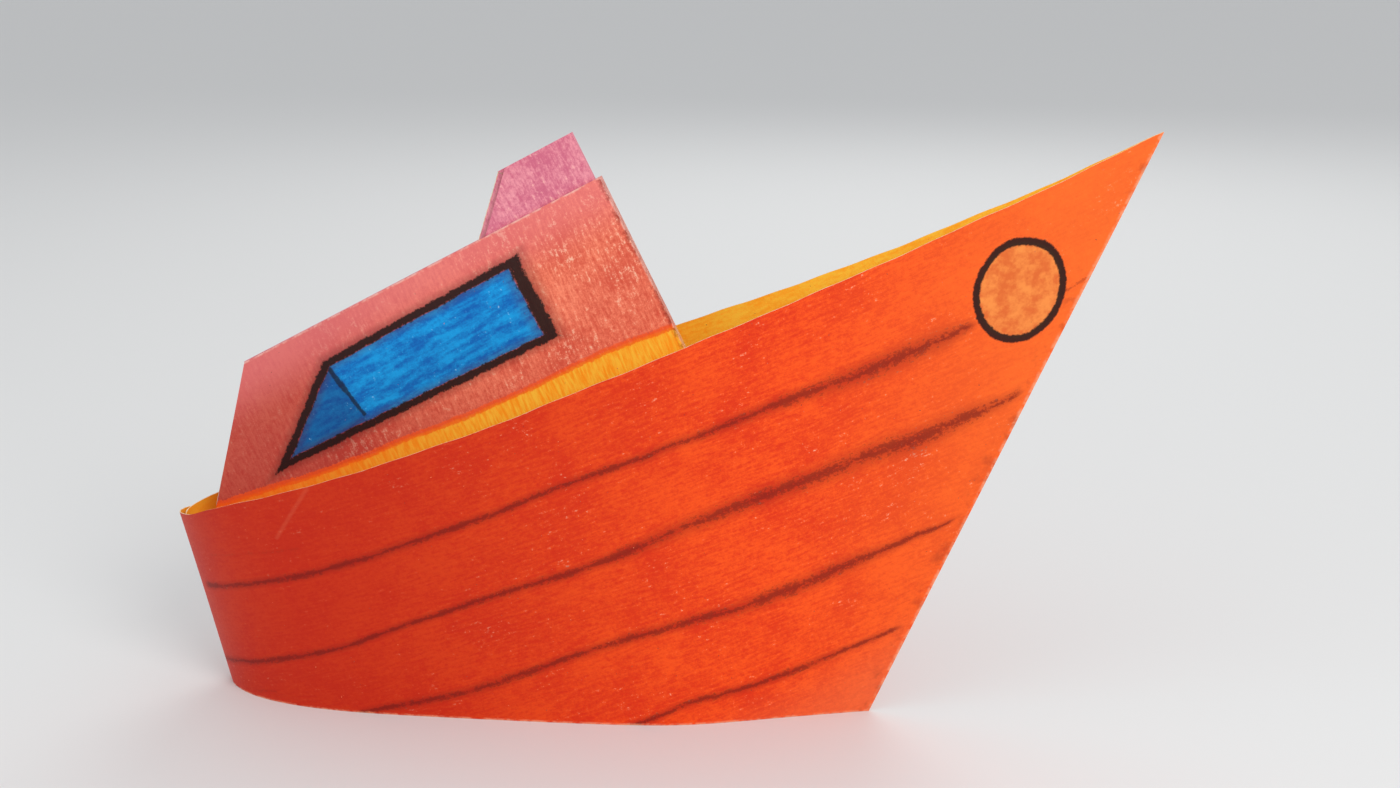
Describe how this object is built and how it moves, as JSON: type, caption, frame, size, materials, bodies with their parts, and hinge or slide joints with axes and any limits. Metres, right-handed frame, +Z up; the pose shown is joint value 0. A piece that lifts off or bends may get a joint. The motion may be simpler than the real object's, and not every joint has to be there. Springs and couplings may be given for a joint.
{
  "type": "folded paper boat",
  "caption": "Boat folded from a sheet of drawing paper, with a raked bow, a hull of folded-up cuffs, a gabled cabin and a small funnel.",
  "frame": {"origin": "on the table under the middle of the boat's bounding box", "axes": "+X towards the bow, +Y to port, +Z up"},
  "size_m": [0.2472, 0.0534, 0.1494],
  "materials": {
    "drawing_paper": "matt drawing paper coloured with oil pastel"
  },
  "bodies": {
    "root": {"folded_sheet": "drawing_paper"}
  },
  "joints": []
}
